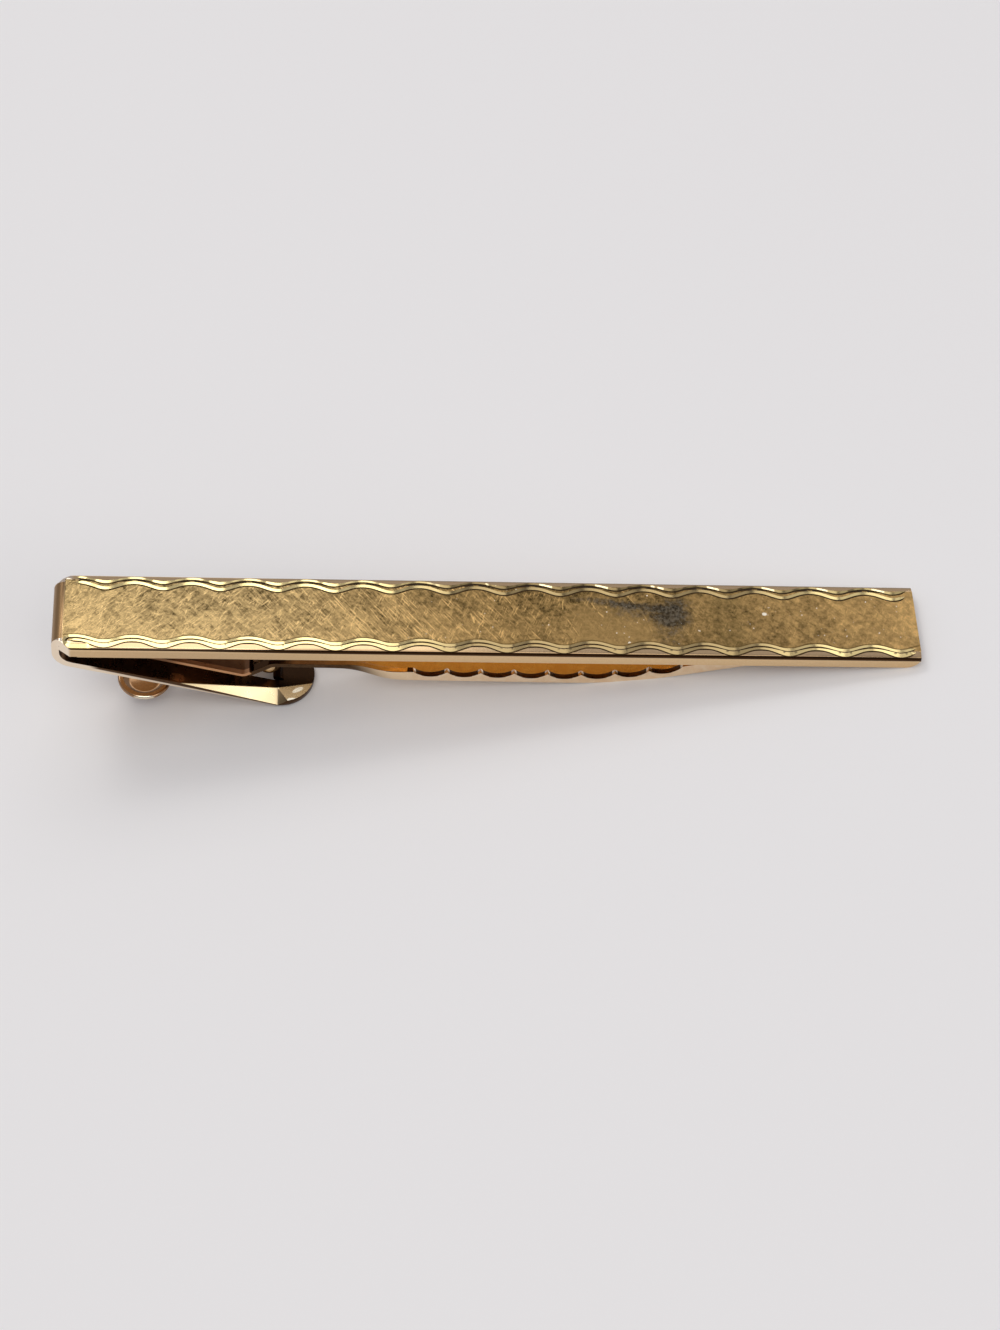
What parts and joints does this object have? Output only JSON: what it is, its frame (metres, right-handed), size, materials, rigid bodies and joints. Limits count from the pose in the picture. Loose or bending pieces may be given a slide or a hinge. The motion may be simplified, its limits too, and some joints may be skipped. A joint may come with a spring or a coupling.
{
  "type": "tie clip",
  "caption": "Slim gold-toned bar tie clip with a wavy engraved border and a sprung, toothed jaw on a hinge under the bar.",
  "frame": {"origin": "below the middle of the bar, level with the underside of the thumb pad", "axes": "+X along the bar from the fold to the free end, +Y across the bar, +Z out of the front face"},
  "size_m": [0.06, 0.0064, 0.0085],
  "materials": {
    "front_bar": "gilded, satin front with polished edges",
    "hinge_pin": "polished",
    "jaw_lever": "gilded, polished",
    "leaf_spring": "tarnished spring brass"
  },
  "bodies": {
    "bar": {"front_bar": "front_bar", "hinge_pin": "hinge_pin", "leaf_spring": "leaf_spring"},
    "lever": {"jaw_lever": "jaw_lever"}
  },
  "joints": [
    {"name": "jaw_hinge", "type": "hinge", "parent": "bar", "child": "lever", "pos_m": [-0.01515, 0, 0.0033], "axis": [0, 1, 0], "range_deg": [0, 18], "stiffness_Nm_per_rad": 0.03, "springref_deg": -28.65, "deforming": ["leaf_spring"]}
  ]
}
